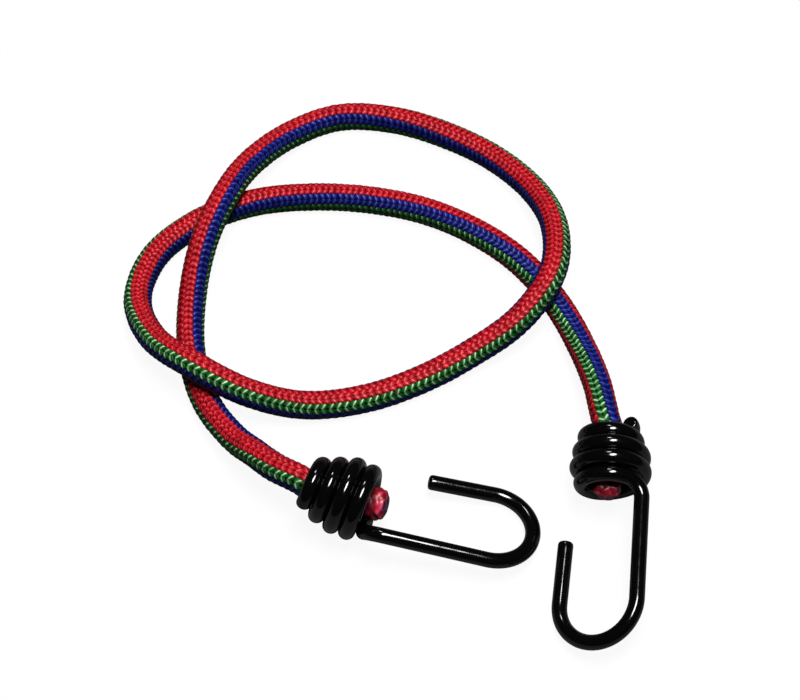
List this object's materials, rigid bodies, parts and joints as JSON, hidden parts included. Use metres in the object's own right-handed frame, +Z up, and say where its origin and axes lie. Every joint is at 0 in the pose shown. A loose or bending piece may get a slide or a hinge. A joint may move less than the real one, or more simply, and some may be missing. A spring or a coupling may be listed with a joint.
{
  "type": "bungee cord",
  "caption": "Elastic strap cord in a knitted striped sheath, lying in a loose loop, with a coated wire hook wound on at each end.",
  "frame": {"origin": "on the floor that the cord lies on, under the middle of the whole part", "axes": "+Z up from the floor, +X to the right and +Y away as in the picture, where the hooks lie nearest the viewer"},
  "size_m": [0.1498, 0.181, 0.023],
  "materials": {
    "knitted_sheath": "knitted, matt",
    "elastic_rubber": "matt",
    "vinyl_coat": "dipped, glossy",
    "steel_wire": "drawn",
    "melted_end": "melted"
  },
  "bodies": {
    "cord": {"sheath": "knitted_sheath", "rubber_strand_01": "elastic_rubber", "rubber_strand_02": "elastic_rubber", "rubber_strand_03": "elastic_rubber", "rubber_strand_04": "elastic_rubber", "rubber_strand_05": "elastic_rubber", "rubber_strand_06": "elastic_rubber", "rubber_strand_07": "elastic_rubber", "rubber_strand_08": "elastic_rubber", "rubber_strand_09": "elastic_rubber", "rubber_strand_10": "elastic_rubber", "rubber_strand_11": "elastic_rubber", "rubber_strand_12": "elastic_rubber", "stop_ring_a": "steel_wire", "sealed_end_a": "melted_end"},
    "hook_a": {"hook_a_coating": "vinyl_coat", "hook_a_wire": "steel_wire"},
    "cord_end_b": {"stop_ring_b": "steel_wire", "sealed_end_b": "melted_end"},
    "hook_b": {"hook_b_coating": "vinyl_coat", "hook_b_wire": "steel_wire"}
  },
  "joints": [
    {"name": "hook_a_swivel", "type": "hinge", "parent": "cord", "child": "hook_a", "pos_m": [-0.01946, -0.04427, 0.01286], "axis": [0.9561, -0.2688, -0.1166], "continuous": true},
    {"name": "cord_stretch", "type": "slide", "parent": "cord", "child": "cord_end_b", "axis": [-0.0052, -1, 0], "range_m": [0, 0.05], "stiffness_N_per_m": 1500, "deforming": ["sheath", "rubber_strand_01", "rubber_strand_02", "rubber_strand_03", "rubber_strand_04", "rubber_strand_05", "rubber_strand_06", "rubber_strand_07", "rubber_strand_08", "rubber_strand_09", "rubber_strand_10", "rubber_strand_11", "rubber_strand_12"]},
    {"name": "hook_b_swivel", "type": "hinge", "parent": "cord_end_b", "child": "hook_b", "pos_m": [0.06384, -0.02587, 0.01168], "axis": [-0.0052, -0.9997, -0.0221], "continuous": true}
  ]
}
